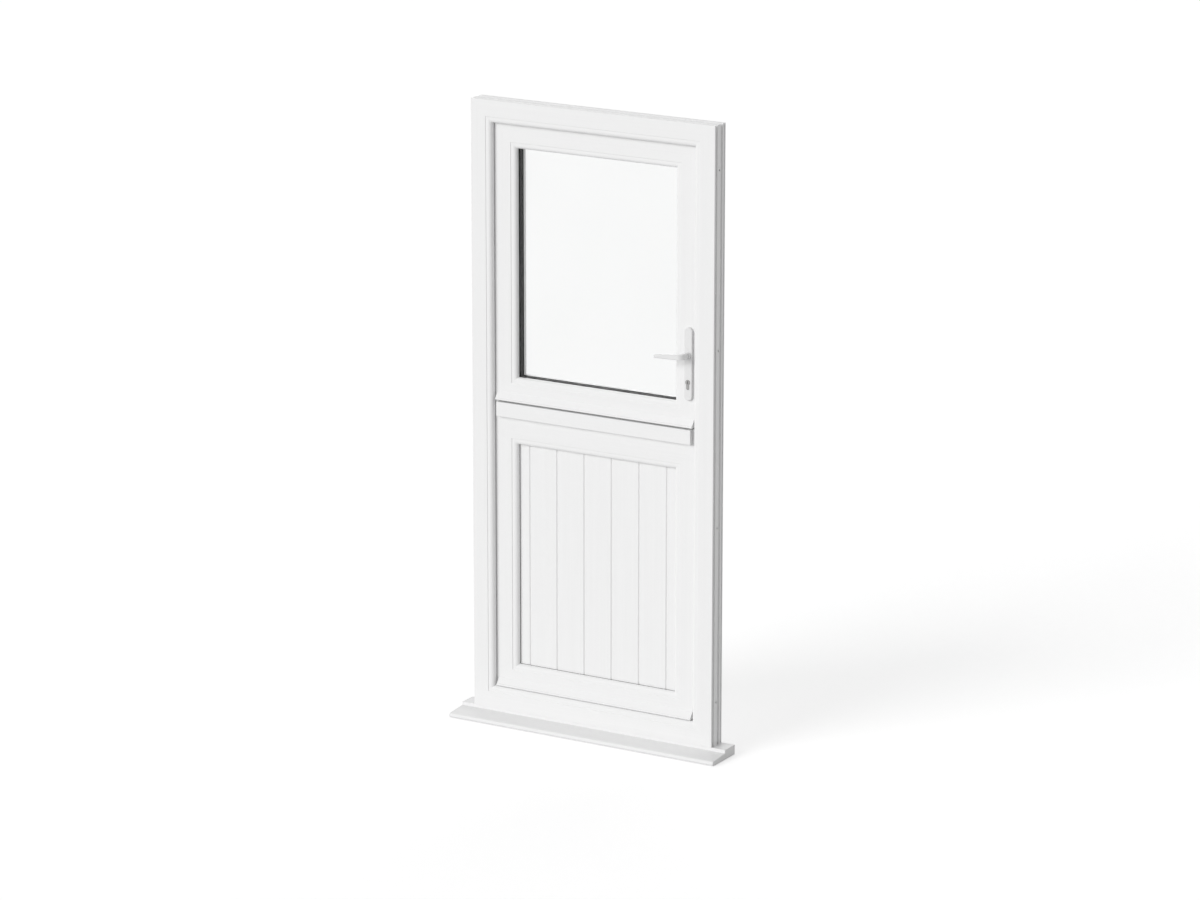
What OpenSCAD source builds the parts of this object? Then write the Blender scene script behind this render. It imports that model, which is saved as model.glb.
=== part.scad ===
// Stable door of white plastic profile: a frame on a sill, a glazed upper leaf and a panelled lower
// leaf that swing inward by themselves, with lock, lever handles, hinges and bolts.
// X runs to the right seen from outside, Y into the building, Z up. The origin is on the sill's
// underside, below the middle of the frame's outer face.

/* [Frame] */
// Overall width of the frame
frame_w = 920; // [840:10:1000]
// Overall height of the frame
frame_h = 2090; // [2000:10:2140]
// Depth of the frame from outside to inside
frame_d = 70; // [68:1:76]
// Width of the frame's flat outer face
frame_face_w = 57; // [55:1:60]
// Thickness of the frame from its outer side to the rebate
frame_web_w = 55; // [50:1:58]
// Depth of the stop that the leaves close against
stop_d = 20; // [18:1:22]
// Radius on the long edges of frame and leaf profiles
edge_r = 2; // [1:0.5:2]
// Distance of the outer grooves' middle lines from the frame's outer face
groove_y = [11, 44, 62]; // [8:1:64]
// Width of the outer grooves
groove_w = [10, 13, 5]; // [4:1:14]
// Depth of the outer grooves
groove_depth = 6; // [3:1:8]
// Radius of the holes for the fixings into the wall
fixing_r = 4; // [3:0.5:5]
// Distance of the outer fixings from the ends of the frame
fixing_inset = 150; // [140:5:180]
// Distance of the fixings from the frame's outer face
fixing_y = 30; // [26:1:32]

/* [Moulded edge] */
// Width of the moulded edge on frame and leaves
ovolo_w = 20; // [18:1:22]
// Radius of its quarter round
ovolo_r = 13; // [10:1:14]
// Step from the quarter round up to the flat face
ovolo_step = 2; // [1:0.5:2.5]

/* [Sill] */
// Height of the sill under the frame
sill_h = 33; // [30:1:40]
// Depth of the sill from nose to back
sill_d = 150; // [140:1:180]
// Length of the sill beyond the frame on each side
sill_horn = 50; // [30:1:80]
// Height of the step at the foot of the frame
sill_step = 11; // [6:1:12]
// Distance of that step behind the frame's outer face
sill_setback = 4; // [2:0.5:5]
// Fall of the apron from the step to the nose
sill_fall = 6; // [3:1:8]
// Radius of the sill's nose
sill_nose_r = 7; // [5:0.5:7]
// Thickness of the sill's end caps
sill_cap_t = 4; // [2:0.5:6]

/* [Leaves] */
// Depth of the leaves from outside to inside
leaf_d = 70; // [68:1:76]
// Width of the flat face of the leaf profile
leaf_face_w = 72; // [68:1:78]
// Width of the upper leaf's bottom rail
upper_rail_w = 82; // [76:1:90]
// Overlap of the leaves' flange beyond their edge
flange_w = 20; // [18:1:22]
// Gap between the leaves' edge and the frame
edge_gap = 12; // [11:1:13]
// Gap between the frame's stop and the leaves, filled by the seal
seal_gap = 4; // [3:0.5:5]
// Gap between the flange and the frame's inner face
flange_gap = 2; // [1.5:0.5:3]
// Depth of the outer lip that the glass bears on
lip_d = 17; // [16.8:0.2:19]
// Height of the split between the leaves above the foot of the frame
split_h = 1072; // [1000:2:1120]
// Gap between the two leaves
split_gap = 4; // [3:0.5:6]
// Width of the soft seals
seal_w = 5; // [4:0.5:6]
// Distance of the soft seals from the edge they lie along
seal_inset = 2; // [1:0.5:2.5]
// Gap that the soft seals keep from the face they close on
seal_clear = 0.3; // [0.2:0.1:0.5]

/* [Glass and panel] */
// Thickness of a glass pane
pane_t = 4; // [3:1:6]
// Width of the space between the panes
cavity_t = 20; // [16:1:20]
// Thickness of the glazing gaskets
gasket_t = 3; // [2:0.5:3.5]
// Width of the glazing gaskets and of the spacer
gasket_w = 8; // [6:0.5:10]
// Thickness of the packers under glass and panel
packer_t = 5; // [3:0.5:6]
// Length of a packer
packer_l = 100; // [60:5:120]
// Radius on the inner edge of the beads
bead_r = 8; // [5:1:10]
// Gap in the mitres between the beads, half on each bead
bead_gap = 0.2; // [0.1:0.05:0.5]
// Distance between the upright grooves of the panel
plank_w = 105; // [80:5:120]
// Width of a groove of the panel
plank_groove_w = 7; // [4:0.5:9]
// Depth of a groove of the panel
plank_groove_d = 3.5; // [2:0.5:5]

/* [Meeting rail and drip bars] */
// Height of the meeting rail on the lower leaf
meeting_h = 52; // [52:1:64]
// Height of the projecting strip of the meeting rail
strip_h = 50; // [44:1:50]
// Projection of strip and drip bars in front of the leaves
drip_d = 18; // [16:1:23]
// Height of a drip bar
drip_h = 27; // [18:1:28]
// Radius of the noses of strip and drip bars
drip_r = 3; // [2:0.5:4]
// Height of the flat front of the drip bars between its round edges
drip_flat_h = 1; // [0.5:0.5:3]
// Gap between the ends of the drip bars and the frame
drip_side_gap = 8; // [7:0.5:12]
// Gap between the ends of the strip and the frame
strip_side_gap = 13; // [7:0.5:16]
// Gap below the drip bars
drip_gap = 2; // [1.5:0.5:4]
// Thickness of the end caps of strip and drip bars
drip_cap_t = 2; // [1:0.5:3]

/* [Handle] */
// Height of the spindle above the foot of the upper leaf
handle_rise = 246; // [230:1:260]
// Distance of spindle and cylinder from the leaf's edge
backset = 37; // [35:1:40]
// Distance of the cylinder below the spindle
cylinder_drop = 92; // [85:1:95]
// Distance of the backplates' lower screw below the cylinder
plate_screw_drop = 22.5; // [11:0.5:26]
// Length of the backplates above the spindle
plate_up = 92; // [90:1:110]
// Width of the backplates
plate_w = 30; // [28:1:32]
// Thickness of the backplates
plate_t = 10; // [8:0.5:12]
// Radius on the front edge of the backplates
plate_edge_r = 4; // [2:0.5:5]
// Reach of the lever's arm in front of the leaf
lever_reach = 52; // [48:1:58]
// Length of the lever from the spindle to its tip
lever_l = 104; // [95:1:115]
// Height of the lever's neck and of its arm where that starts
lever_root_h = 19; // [16:0.5:20]
// Height of the lever's arm at its tip
lever_tip_h = 13; // [12.5:0.5:15]
// Thickness of the lever between its flat front and back
lever_t = 12; // [10:0.5:12]
// Angle by which the lever's arm hangs below level
lever_droop = 3.5; // [0:0.5:10]
// Middle radius of the bend from neck to arm
lever_bend_r = 14; // [12:1:18]
// Radius of the lever's journal in the backplate
journal_r = 8; // [7:0.5:9]
// Radius of the lever's collar on the backplate
collar_r = 11; // [10:0.5:13]
// Height of the lever's collar
collar_h = 7; // [3:0.5:8]
// Side of the square spindle
spindle_w = 8; // [7:0.5:8]

/* [Lock] */
// Distance of the lock's middle plane from the leaf's outer face
lock_offset = 26; // [24:1:28]
// Width of the lock's faceplate
faceplate_w = 16; // [15:1:18]
// Thickness of the faceplate
faceplate_t = 3; // [2:0.5:3.5]
// Length of the faceplate beyond each end of the lock case
faceplate_over = 40; // [30:1:50]
// Depth of the lock case behind the faceplate
case_d = 50; // [50:1:54]
// Thickness of the lock case
case_t = 14; // [13.5:0.5:14.5]
// Length of the case beyond latch and cylinder
case_over = 7; // [5:1:10]
// Thickness of latch and dead bolt
bolt_t = 10; // [8:0.5:11]
// Length of latch and dead bolt
bolt_l = 32; // [30:1:33]
// Height of the latch
latch_h = 20; // [16:1:24]
// Thickness of the latch at its tip
latch_tip_t = 1; // [0.5:0.5:2]
// Height of the latch's middle above the spindle
latch_rise = 45; // [42:1:50]
// Height of the dead bolt
dead_bolt_h = 24; // [20:1:26]
// Distance of the dead bolt's middle below the spindle
dead_bolt_drop = 48; // [46:1:52]
// Way that latch and dead bolt can be drawn in behind the faceplate
bolt_draw = 16; // [15:0.5:16.5]
// Throw of the dead bolt
bolt_throw = 20; // [18:1:22]
// Gap round latch and dead bolt in the lock case
bolt_clear = 0.3; // [0.2:0.1:0.5]
// Gap round latch and dead bolt in the keep
keep_clear = 2; // [1.5:0.5:3]
// Thickness of the keep
keep_t = 3; // [2:0.5:4]
// Width of the keep
keep_w = 22; // [20:1:26]
// Radius of the round part of the cylinder
cylinder_r = 8.5; // [8:0.1:9]
// Overall height of the cylinder
cylinder_h = 33; // [31:0.5:34]
// Width of the cylinder's leg
cylinder_leg_w = 10; // [9:0.5:11]
// Length of the cylinder in front of each backplate
cylinder_proud = 1.5; // [1:0.5:3]
// Radius of the key plugs
plug_r = 6.5; // [6:0.1:6.8]
// Length of the key plugs
plug_l = 34; // [28:1:36]
// Length of the key plugs in front of the cylinder
plug_proud = 0.5; // [0.2:0.1:1]
// Width of the key slot
key_slot_w = 2.2; // [1.5:0.1:3]
// Height of the key slot
key_slot_h = 9; // [7:0.5:10]
// Depth of the key slot
key_slot_d = 16; // [12:1:20]

/* [Hinges] */
// Distance of the hinges' middle from the ends of each leaf
hinge_inset = 150; // [130:5:200]
// Radius of the hinge pins
hinge_pin_r = 5; // [4:0.5:5.5]
// Radius of the hinge barrels
hinge_barrel_r = 8; // [7.5:0.5:8.5]
// Distance of the hinge axis beyond the leaf's flange
hinge_side = 6; // [5:1:8]
// Distance of the hinge axis from the leaf's inner face
hinge_rise = 10; // [9.5:0.5:12]
// Height of the middle knuckle, which is the leaf's
hinge_middle_h = 40; // [30:1:50]
// Height of the outer knuckles, which are the frame's
hinge_outer_h = 30; // [24:1:36]
// Gap between the knuckles
hinge_gap = 0.4; // [0.3:0.1:0.6]
// Gap between the frame's plate and the leaf's flange, seen from the hinge axis
hinge_arm_gap = 0.5; // [0.4:0.1:1]
// Height of the pins' heads
hinge_head_h = 3; // [2:0.5:4]
// Distance between the two screws of a leaf's plate
hinge_screw_pitch = 15; // [12:1:18]
// Thickness of the hinge plates
hinge_plate_t = 4; // [3:0.5:5]
// Width of the plate on the frame
hinge_frame_plate_w = 36; // [32:1:38]
// Width of the plate on the leaf
hinge_leaf_plate_w = 58; // [54:1:64]
// Radial clearance of pins, journals and plugs
running_clear = 0.05; // [0.02:0.01:0.1]

/* [Bolts of the leaves] */
// Radius of the sliding rods
rod_r = 6; // [5:0.5:7]
// Distance of the rods from the base plates
rod_rise = 8; // [7.5:0.5:10]
// Thickness of the base plates
base_t = 4; // [3:0.5:5]
// Width of the base plates
base_w = 36; // [34:1:40]
// Radius of the loops round the rods
loop_r = 11; // [10:0.5:13]
// Length of a loop along the rod
loop_l = 12; // [10:1:14]
// Length of the upright bolt that couples the leaves
coupling_l = 120; // [112:1:122]
// Distance of the coupling bolt from the leaves' edge
coupling_inset = 173; // [150:1:240]
// Length of the bolt of the lower leaf
lower_bolt_l = 84; // [80:1:86]
// Height of that bolt above the foot of the lower leaf
lower_bolt_rise = 475; // [440:5:520]
// Distance of the base plates from the leaves' edges
base_inset = 3; // [2:0.5:5]
// Gap between the coupling bolt's end and its keeper
keeper_gap = 10; // [9:0.5:14]
// Length of the coupling bolt's keeper along the rod
keeper_l = 24; // [20:1:28]
// Gap between the lower leaf's flange and the keep of its bolt
lower_keep_gap = 2.5; // [2:0.5:4]
// Length of that keep along the rod
lower_keep_l = 12; // [11:0.5:14]
// Radial gap round a rod in its keeper
keeper_clear = 0.6; // [0.4:0.1:1]
// Radius of the knobs' stems
knob_stem_r = 3.6; // [3:0.2:4]
// Radius of the rods' knobs
knob_r = 8; // [6:0.5:9]
// Height of the knobs in front of the rods
knob_rise = 26; // [22:1:32]

/* [Screws] */
// Radius of the screws' shanks
screw_r = 2; // [1.5:0.25:2.5]
// Radius of the countersunk heads
screw_head_r = 4; // [3.5:0.25:4.5]
// Distance of the screws from the edges of hinge plates and from the keepers' loops
screw_edge = 10; // [9:0.5:12]
// Distance of the bolts' screws from the ends of the base plates
base_screw_inset = 24; // [22:1:28]
// Distance of the bolts' screws from the long edges of the base plates
base_screw_edge = 5.5; // [5:0.25:6]
// Length of the screws
screw_l = 28; // [20:1:30]
// Radius of the handle's through screws
handle_screw_r = 2.5; // [2:0.25:3]
// Depth that the through screws reach into the outer backplate
handle_screw_bite = 6; // [4:0.5:7]
// Clearance round screws
screw_clear = 0.05; // [0.02:0.01:0.2]

/* [Hidden] */
$fn = 64;
far = frame_w;
cut = 1;
skim = 0.1;
fit_clear = 0.3;

// Frame
frame_z = [sill_h, sill_h + frame_h];
frame_sight_w = frame_face_w + ovolo_w;
frame_sight_x = frame_w / 2 - frame_sight_w;
frame_sight_z = [frame_z[0] + frame_sight_w, frame_z[1] - frame_sight_w];
rebate_u = frame_sight_w - frame_web_w;
rebate_x = frame_w / 2 - frame_web_w;
fixing_z = [frame_z[0] + fixing_inset, frame_z[1] - fixing_inset];
fixing_step = (fixing_z[1] - fixing_z[0]) / 3;

// Leaves
leaf_y = [stop_d + seal_gap, stop_d + seal_gap + leaf_d];
leaf_mid_y = (leaf_y[0] + leaf_y[1]) / 2;
flange_y = frame_d + flange_gap;
leaf_edge_x = rebate_x - edge_gap;
leaf_rail_w = leaf_face_w + ovolo_w;
leaf_sight_x = leaf_edge_x - leaf_rail_w;
flange_x = leaf_edge_x + flange_w;
split_z = frame_z[0] + split_h;
upper_z = [split_z + split_gap / 2, frame_z[1] - frame_web_w - edge_gap];
lower_z = [frame_z[0] + frame_web_w + edge_gap, split_z - split_gap / 2];
sash_top_z = lower_z[1] - meeting_h;
upper_sight_z = [upper_z[0] + upper_rail_w, upper_z[1] - leaf_rail_w];
lower_sight_z = [lower_z[0] + leaf_rail_w, sash_top_z - leaf_rail_w];
lip_y = leaf_y[0] + lip_d;
unit_y = lip_y + gasket_t;
unit_t = 2 * pane_t + cavity_t;
bead_y = unit_y + unit_t + gasket_t;
unit_cover = ovolo_w - packer_t;
drip_x = frame_sight_x - drip_side_gap;
strip_x = frame_sight_x - strip_side_gap;
strip_front_y = leaf_y[0] - drip_d;
strip_z = lower_z[1] - strip_h;
plank_count = floor((leaf_sight_x - plank_w / 2) / plank_w) + 1;

// Lock and handle
lock_y = leaf_y[0] + lock_offset;
spindle_x = leaf_edge_x - backset;
spindle_z = upper_z[0] + handle_rise;
cylinder_z = spindle_z - cylinder_drop;
latch_z = spindle_z + latch_rise;
dead_bolt_z = spindle_z - dead_bolt_drop;
plate_end_r = plate_w / 2;
cylinder_foot_z = cylinder_z + cylinder_r - cylinder_h;
cylinder_leg_z = cylinder_foot_z + cylinder_leg_w / 2;
handle_screw_z = [cylinder_foot_z - plate_screw_drop, spindle_z + plate_up - plate_end_r];
case_x = [leaf_edge_x - faceplate_t - case_d, leaf_edge_x - faceplate_t];
case_z = [cylinder_foot_z - case_over, latch_z + latch_h / 2 + case_over];
faceplate_z = [case_z[0] - faceplate_over, case_z[1] + faceplate_over];
faceplate_screw_z = [faceplate_z[0] + faceplate_w, faceplate_z[1] - faceplate_w];
keep_z = [dead_bolt_z - dead_bolt_h / 2 - keep_w, latch_z + latch_h / 2 + keep_w];
keep_screw_z = [keep_z[0] + keep_w / 3, keep_z[1] - keep_w / 3];
plate_front_y = leaf_y[0] - plate_t;
cylinder_y = [plate_front_y - cylinder_proud, leaf_y[1] + plate_t + cylinder_proud];
lever_y = leaf_y[0] - lever_reach;
handle_screw_l = plate_t + leaf_d + handle_screw_bite;
cylinder_screw_l = backset + cylinder_leg_w / 4;

// Hinges: the axis stands beside the flange and inside the leaf's inner face
hinge_x = -(flange_x + hinge_side);
hinge_y = leaf_y[1] + hinge_rise;
hinge_z = [
    lower_z[0] + hinge_inset,
    sash_top_z - hinge_inset,
    upper_z[0] + hinge_inset,
    upper_z[1] - hinge_inset,
];
hinge_half_h = hinge_middle_h / 2 + hinge_gap + hinge_outer_h;
hinge_frame_screw_x = hinge_x - hinge_frame_plate_w + screw_edge;
hinge_frame_screw_z = hinge_half_h - screw_edge;
hinge_flag_end_x = hinge_x + hinge_leaf_plate_w;
hinge_leaf_screw_x = [hinge_flag_end_x - screw_edge, hinge_flag_end_x - screw_edge - hinge_screw_pitch];

// Bolts of the leaves
base_y = leaf_y[1] + base_t;
rod_y = base_y + rod_rise;
coupling_x = leaf_edge_x - coupling_inset;
coupling_z = [lower_z[1] - base_inset - coupling_l, lower_z[1] - base_inset];
lower_bolt_z = lower_z[0] + lower_bolt_rise;
lower_bolt_x = [flange_x - base_inset - lower_bolt_l, flange_x - base_inset];
coupling_keeper_z = coupling_z[1] + keeper_gap;
lower_keep_x = flange_x + lower_keep_gap;
keeper_screw_side = loop_r + screw_edge;
keeper_half = keeper_screw_side + screw_head_r + edge_r;
base_screw_side = base_w / 2 - base_screw_edge;

// Rectangle with round corners between two opposite corners
module rounded_box(lo, hi, r) {
    translate([lo[0] + r, lo[1]]) square([hi[0] - lo[0] - 2 * r, hi[1] - lo[1]]);
    translate([lo[0], lo[1] + r]) square([hi[0] - lo[0], hi[1] - lo[1] - 2 * r]);
    for (x = [lo[0] + r, hi[0] - r], y = [lo[1] + r, hi[1] - r]) translate([x, y]) circle(r);
}

// Runs a shape drawn in X and Z along Y
module along_y(y) {
    translate([0, y[1], 0]) rotate([90, 0, 0]) linear_extrude(y[1] - y[0]) children();
}

// Runs a shape drawn in Y and Z along X
module along_x(x) {
    translate([x[0], 0, 0]) rotate([90, 0, 90]) linear_extrude(x[1] - x[0]) children();
}

// Both of a pair that is the same on the left and on the right
module both_sides() {
    children();
    mirror([1, 0, 0]) children();
}

// Upright bar right of an opening, mitred at the corners of its sight line, short of them by a gap.
// The section is drawn outward from the sight line, with its depth along Y.
module upright_bar(x, z, ends, gap = 0) {
    intersection() {
        translate([x, 0, ends[0]]) linear_extrude(ends[1] - ends[0]) children();
        along_y([-far, far]) polygon([
            [x - ovolo_w, z[0] + ovolo_w + gap],
            [x + far, z[0] - far + gap],
            [x + far, z[1] + far - gap],
            [x - ovolo_w, z[1] - ovolo_w - gap],
        ]);
    }
}

// Level bar above an opening, or below it where up is -1, mitred like the upright bars
module level_bar(x, z, up, gap = 0) {
    intersection() {
        translate([0, 0, z]) rotate([0, -90 * up, 0]) linear_extrude(2 * far, center = true) children();
        along_y([-far, far]) polygon([
            [ovolo_w - x + gap, z - up * ovolo_w],
            [-x - far + gap, z + up * far],
            [x + far - gap, z + up * far],
            [x - ovolo_w - gap, z - up * ovolo_w],
        ]);
    }
}

// Flat ring round an opening, drawn outward from the sight line
module sight_ring(x, z, inner, outer, y) {
    along_y(y) difference() {
        translate([-x - outer, z[0] - outer]) square([2 * (x + outer), z[1] - z[0] + 2 * outer]);
        translate([-x - inner, z[0] - inner]) square([2 * (x + inner), z[1] - z[0] + 2 * inner]);
    }
}

// Lip with a quarter round at the sight line and a small step up to the flat face
module ovolo_lip(y0, y1) {
    root = ovolo_w + edge_r;
    intersection() {
        translate([0, y0]) square([root, y1 - y0]);
        union() {
            translate([ovolo_r, y0 + ovolo_step + ovolo_r]) circle(ovolo_r);
            translate([ovolo_r, y0 + ovolo_step]) square([root - ovolo_r, y1 - y0]);
            translate([0, y0 + ovolo_step + ovolo_r]) square([root, y1 - y0]);
        }
    }
}

// Section of the frame: stop with moulded edge, web and grooved outer side
module frame_section() {
    difference() {
        union() {
            ovolo_lip(0, stop_d);
            rounded_box([ovolo_w, 0], [frame_sight_w, stop_d], edge_r);
            rounded_box([rebate_u, 0], [frame_sight_w, frame_d], edge_r);
        }
        for (i = [0 : len(groove_y) - 1])
            translate([frame_sight_w - groove_depth, groove_y[i] - groove_w[i] / 2])
                square([groove_depth + cut, groove_w[i]]);
    }
}

// Section of a leaf's bar, with or without the flange and the groove for the lock and its like
module leaf_section(edge, lapped) {
    difference() {
        union() {
            ovolo_lip(leaf_y[0], lip_y);
            rounded_box([ovolo_w, leaf_y[0]], [edge, leaf_y[1]], edge_r);
            if (lapped) rounded_box([edge / 2, flange_y], [edge + flange_w, leaf_y[1]], edge_r);
        }
        if (lapped)
            translate([edge - faceplate_t, lock_y - faceplate_w / 2 - fit_clear])
                square([faceplate_t + cut, faceplate_w + 2 * fit_clear]);
    }
}

// Section of a glazing bead with a round inner edge
module bead_section() {
    translate([bead_r, bead_y]) square([ovolo_w - bead_r, leaf_y[1] - bead_y]);
    translate([0, bead_y]) square([ovolo_w, leaf_y[1] - bead_y - bead_r]);
    translate([bead_r, leaf_y[1] - bead_r]) circle(bead_r);
}

// What is taken off a square corner to round it, with the way from the corner into the shape
module corner_waste(corner, inward, r) {
    out = corner - cut * inward;
    middle = corner + r * inward;
    difference() {
        polygon([out, [middle[0], out[1]], middle, [out[0], middle[1]]]);
        translate(middle) circle(r);
    }
}

// Section of a drip bar in Y and Z, with a sloping top, a round nose and a groove below
module drip_section(z) {
    front_y = leaf_y[0] - drip_d;
    nose_z = z + 2 * drip_r + drip_flat_h;
    difference() {
        polygon([
            [leaf_y[0], z],
            [front_y, z],
            [front_y, nose_z],
            [front_y + drip_r, nose_z],
            [leaf_y[0], z + drip_h],
        ]);
        corner_waste([front_y, z], [1, 1], drip_r);
        corner_waste([front_y, nose_z], [1, -1], drip_r);
        translate([front_y + 2 * drip_r, z - cut]) square([drip_r, drip_r / 2 + cut]);
    }
}

// Countersunk screw along -Z with its head flush at the origin, or the hole for it
module screw(r, l, grow = 0) {
    head_h = screw_head_r - screw_r;
    translate([0, 0, -l - grow]) cylinder(h = l + grow, r = r + grow);
    translate([0, 0, -head_h]) cylinder(h = head_h, r1 = r + grow, r2 = r + head_h + grow);
    if (grow > 0) cylinder(h = cut, r = r + head_h + grow);
}

// Places of the screws, with the screw along -Z
module at_hinge_frame_screws() {
    for (z = hinge_z, step = [-1, 0, 1])
        translate([hinge_frame_screw_x, frame_d + hinge_plate_t, z + step * hinge_frame_screw_z])
            rotate([-90, 0, 0]) children();
}

module at_hinge_leaf_screws(first) {
    for (i = [first, first + 1], x = hinge_leaf_screw_x)
        translate([x, leaf_y[1] + hinge_plate_t, hinge_z[i]]) rotate([-90, 0, 0]) children();
}

module at_keep_screws() {
    for (z = keep_screw_z) translate([rebate_x - keep_t, lock_y, z]) rotate([0, -90, 0]) children();
}

module at_lower_keep_screws() {
    for (side = [-1, 1])
        translate([lower_keep_x + lower_keep_l / 2, frame_d + base_t, lower_bolt_z])
            translate([0, 0, side * keeper_screw_side]) rotate([-90, 0, 0]) children();
}

module at_faceplate_screws() {
    for (z = faceplate_screw_z) translate([leaf_edge_x, lock_y, z]) rotate([0, 90, 0]) children();
}

module at_cylinder_screw() {
    translate([leaf_edge_x, lock_y, cylinder_leg_z]) rotate([0, 90, 0]) children();
}

module at_handle_screws() {
    for (z = handle_screw_z)
        translate([spindle_x, leaf_y[1] + plate_t, z]) rotate([-90, 0, 0]) children();
}

module at_coupling_screws() {
    for (side = [-1, 1], z = [coupling_z[0] + base_screw_inset, coupling_z[1] - base_screw_inset])
        translate([coupling_x + side * base_screw_side, base_y, z]) rotate([-90, 0, 0]) children();
}

module at_coupling_keeper_screws() {
    for (side = [-1, 1])
        translate([coupling_x + side * keeper_screw_side, base_y, coupling_keeper_z + keeper_l / 2])
            rotate([-90, 0, 0]) children();
}

module at_lower_bolt_screws() {
    for (side = [-1, 1], x = [lower_bolt_x[0] + base_screw_inset, lower_bolt_x[1] - base_screw_inset])
        translate([x, base_y, lower_bolt_z + side * base_screw_side]) rotate([-90, 0, 0]) children();
}

// Frame

module frame_upright() {
    upright_bar(frame_sight_x, frame_sight_z, [frame_z[0] - ovolo_w, frame_z[1] + ovolo_w])
        frame_section();
}

module fixing_holes() {
    for (i = [0 : 3])
        translate([rebate_x - cut, fixing_y, fixing_z[0] + i * fixing_step])
            rotate([0, 90, 0]) cylinder(h = frame_web_w + 2 * cut, r = fixing_r);
}

module frame_head() {
    color("white") level_bar(frame_sight_x, frame_sight_z[1], 1) frame_section();
}

module frame_threshold() {
    color("white") level_bar(frame_sight_x, frame_sight_z[0], -1) frame_section();
}

module frame_hinge_jamb() {
    color("white") difference() {
        mirror([1, 0, 0]) frame_upright();
        mirror([1, 0, 0]) fixing_holes();
        at_hinge_frame_screws() screw(screw_r, screw_l, screw_clear);
    }
}

module frame_lock_jamb() {
    color("white") difference() {
        frame_upright();
        fixing_holes();
        keep_pockets(leaf_edge_x + bolt_throw + keep_clear);
        at_keep_screws() screw(screw_r, screw_l, screw_clear);
        at_lower_keep_screws() screw(screw_r, screw_l, screw_clear);
    }
}

// Section of the sill in Y and Z: seat of the frame, step, sloping apron and round nose
module sill_section() {
    nose_h = sill_h - sill_step - sill_fall;
    front_y = frame_d - sill_d;
    nose_y = front_y + sill_nose_r;
    difference() {
        union() {
            rounded_box([front_y, 0], [front_y + 4 * sill_nose_r, nose_h], sill_nose_r);
            polygon([
                [nose_y, 0],
                [frame_d, 0],
                [frame_d, sill_h],
                [sill_setback, sill_h],
                [sill_setback, sill_h - sill_step],
                [nose_y, nose_h],
            ]);
        }
        translate([nose_y + sill_nose_r, -cut]) square([sill_nose_r, sill_nose_r / 2 + cut]);
    }
}

module sill() {
    half = frame_w / 2 + sill_horn - sill_cap_t;
    color("white") along_x([-half, half]) sill_section();
}

module sill_end_caps() {
    half = frame_w / 2 + sill_horn;
    color("white") both_sides() along_x([half - sill_cap_t, half]) sill_section();
}

module frame_seal() {
    color("dimgray") sight_ring(frame_sight_x, frame_sight_z, seal_inset, seal_inset + seal_w,
        [stop_d, leaf_y[0] - seal_clear]);
}

// Pockets for latch and dead bolt from the keep's front to a depth in X
module keep_pockets(x1) {
    x0 = rebate_x - keep_t - cut;
    w = bolt_t + 2 * keep_clear;
    for (b = [[latch_z, latch_h], [dead_bolt_z, dead_bolt_h]])
        translate([x0, lock_y - w / 2, b[0] - b[1] / 2 - keep_clear])
            cube([x1 - x0, w, b[1] + 2 * keep_clear]);
}

module lock_keep() {
    color("silver") difference() {
        along_x([rebate_x - keep_t, rebate_x])
            rounded_box([lock_y - keep_w / 2, keep_z[0]], [lock_y + keep_w / 2, keep_z[1]], keep_w / 4);
        keep_pockets(rebate_x + cut);
        at_keep_screws() screw(screw_r, screw_l, screw_clear);
    }
}

module lower_keep() {
    color("white") difference() {
        union() {
            along_y([frame_d, frame_d + base_t])
                rounded_box([lower_keep_x, lower_bolt_z - keeper_half],
                    [lower_keep_x + lower_keep_l, lower_bolt_z + keeper_half], edge_r);
            translate([lower_keep_x, 0, lower_bolt_z]) rotate([0, 90, 0])
                rod_loop(frame_d, lower_keep_l, keeper_clear);
        }
        at_lower_keep_screws() screw(screw_r, screw_l, screw_clear);
    }
}

// Bore of a hinge along its whole height
module hinge_bore() {
    translate([hinge_x, hinge_y, -hinge_half_h - cut])
        cylinder(h = 2 * (hinge_half_h + cut), r = hinge_pin_r + running_clear);
}

// Frame's half of a hinge: plate on the frame and two knuckles on arms
module hinge_frame_leaf() {
    plate_x = [hinge_x - hinge_frame_plate_w, hinge_x - hinge_arm_gap];
    difference() {
        union() {
            along_y([frame_d, frame_d + hinge_plate_t])
                rounded_box([plate_x[0], -hinge_half_h], [plate_x[1], hinge_half_h], edge_r);
            for (z = [-hinge_half_h, hinge_half_h - hinge_outer_h]) {
                translate([hinge_x - hinge_barrel_r, frame_d, z])
                    cube([hinge_barrel_r - hinge_arm_gap, hinge_y - frame_d, hinge_outer_h]);
                translate([hinge_x, hinge_y, z]) cylinder(h = hinge_outer_h, r = hinge_barrel_r);
            }
        }
        hinge_bore();
    }
}

module hinge_frame_leaves() {
    color("white") difference() {
        for (z = hinge_z) translate([0, 0, z]) hinge_frame_leaf();
        at_hinge_frame_screws() screw(screw_r, screw_l, screw_clear);
    }
}

module hinge_pins() {
    color("silver") for (z = hinge_z) translate([hinge_x, hinge_y, z - hinge_half_h]) {
        cylinder(h = 2 * hinge_half_h, r = hinge_pin_r);
        translate([0, 0, 2 * hinge_half_h]) cylinder(h = hinge_head_h, r = hinge_barrel_r - edge_r / 2);
    }
}

module frame_screws() {
    color("silver") {
        at_hinge_frame_screws() screw(screw_r, screw_l);
        at_keep_screws() screw(screw_r, screw_l);
        at_lower_keep_screws() screw(screw_r, screw_l);
    }
}

// Shared pieces of both leaves

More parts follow.
